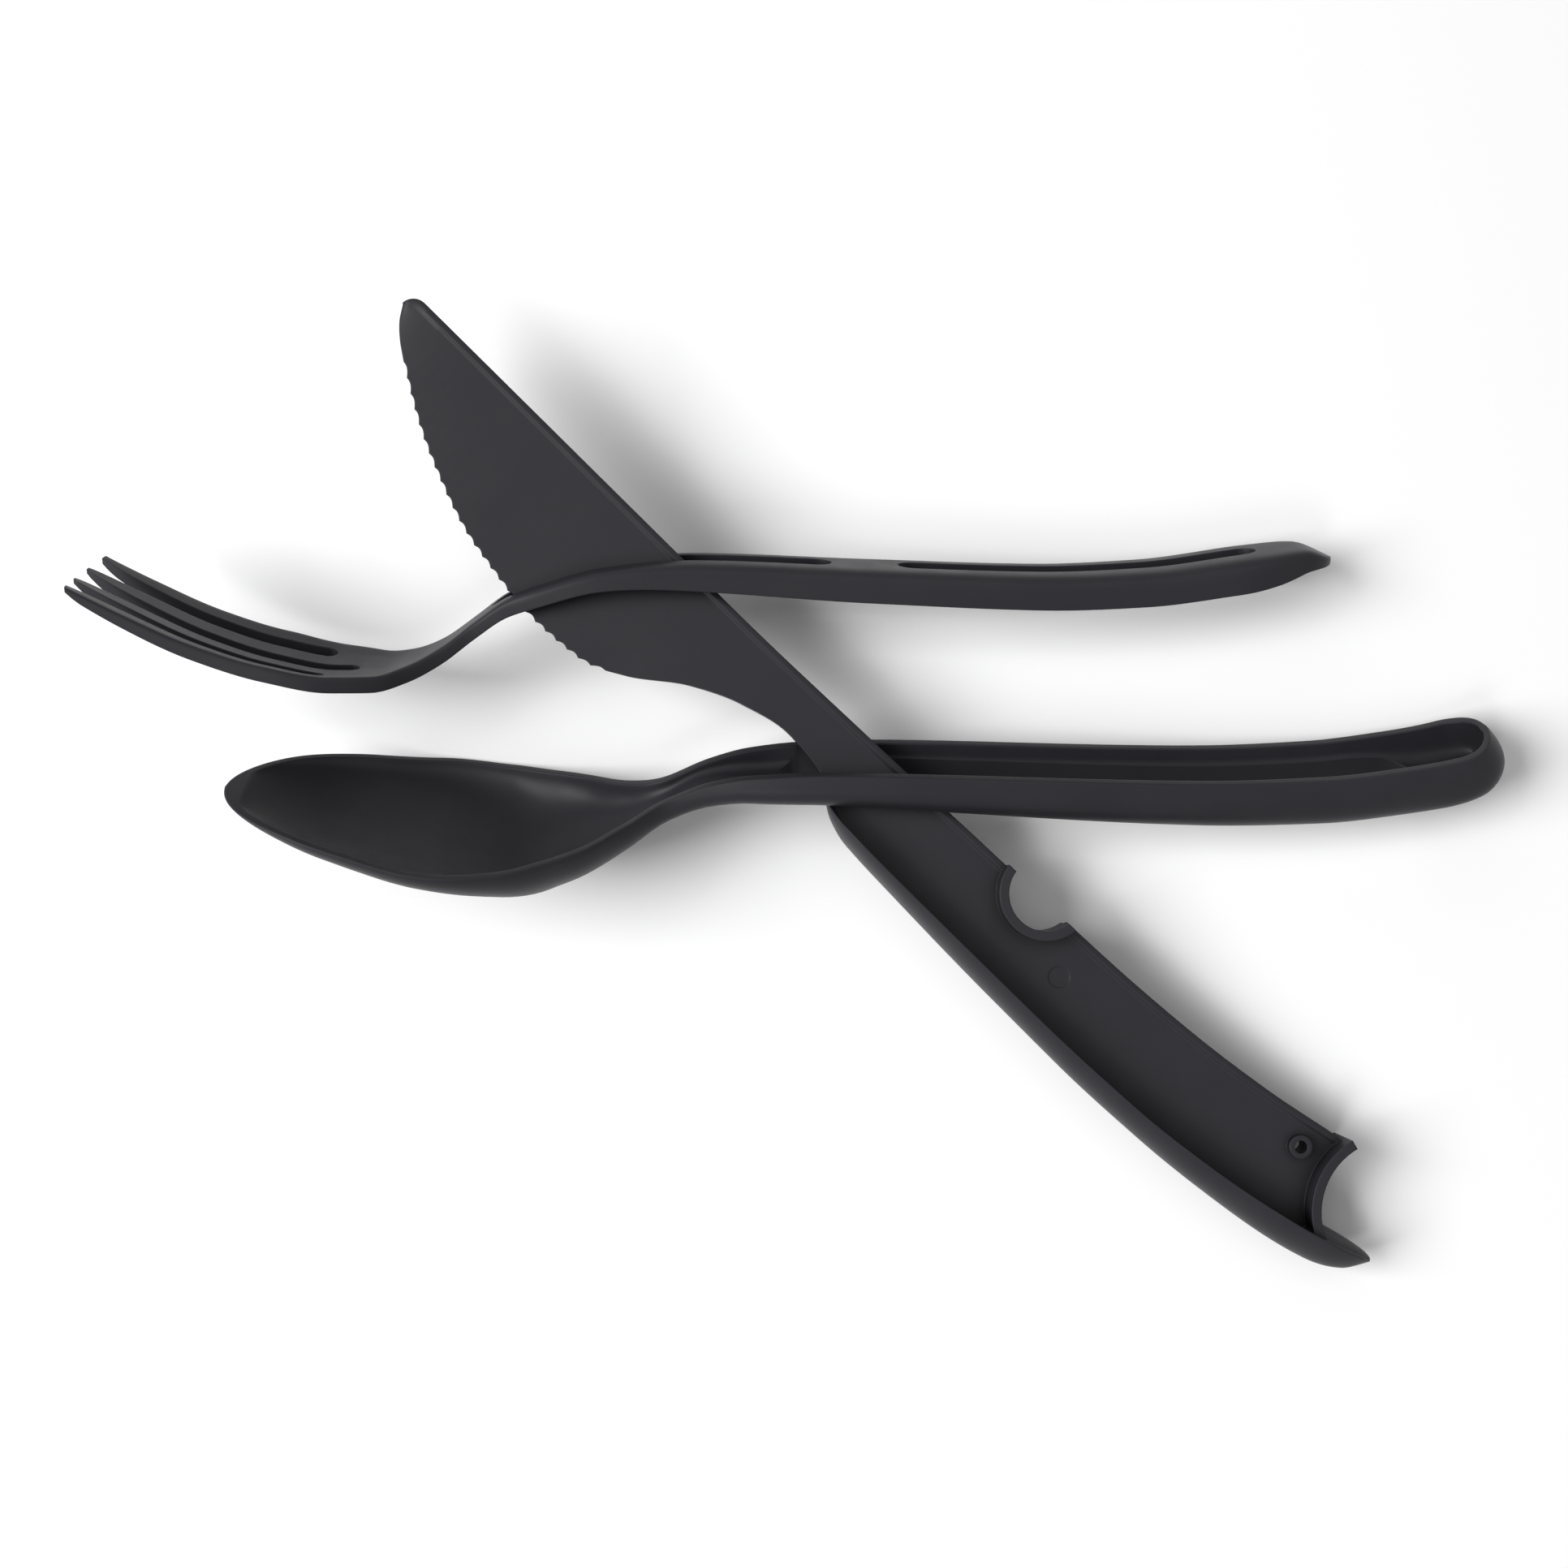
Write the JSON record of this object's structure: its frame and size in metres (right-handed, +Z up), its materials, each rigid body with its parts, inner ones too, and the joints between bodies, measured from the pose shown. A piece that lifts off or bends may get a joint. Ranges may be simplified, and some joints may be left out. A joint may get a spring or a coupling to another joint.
{
  "type": "plastic cutlery pack",
  "caption": "Interlocking travel set of a fork, knife and spoon moulded in dark plastic, with channel handles and long slots that the knife threads through.",
  "frame": {"origin": "centre of the footprint of the whole set, on the floor that it lies on", "axes": "+Z up from the floor, +X along the fork and the spoon towards the ends of their handles, +Y from the spoon towards the fork"},
  "size_m": [0.212, 0.1438, 0.0348],
  "materials": {
    "fork_plastic": "satin",
    "knife_plastic": "satin",
    "spoon_plastic": "satin"
  },
  "bodies": {
    "root": {"fork": "fork_plastic", "knife": "knife_plastic", "spoon": "spoon_plastic"}
  },
  "joints": []
}
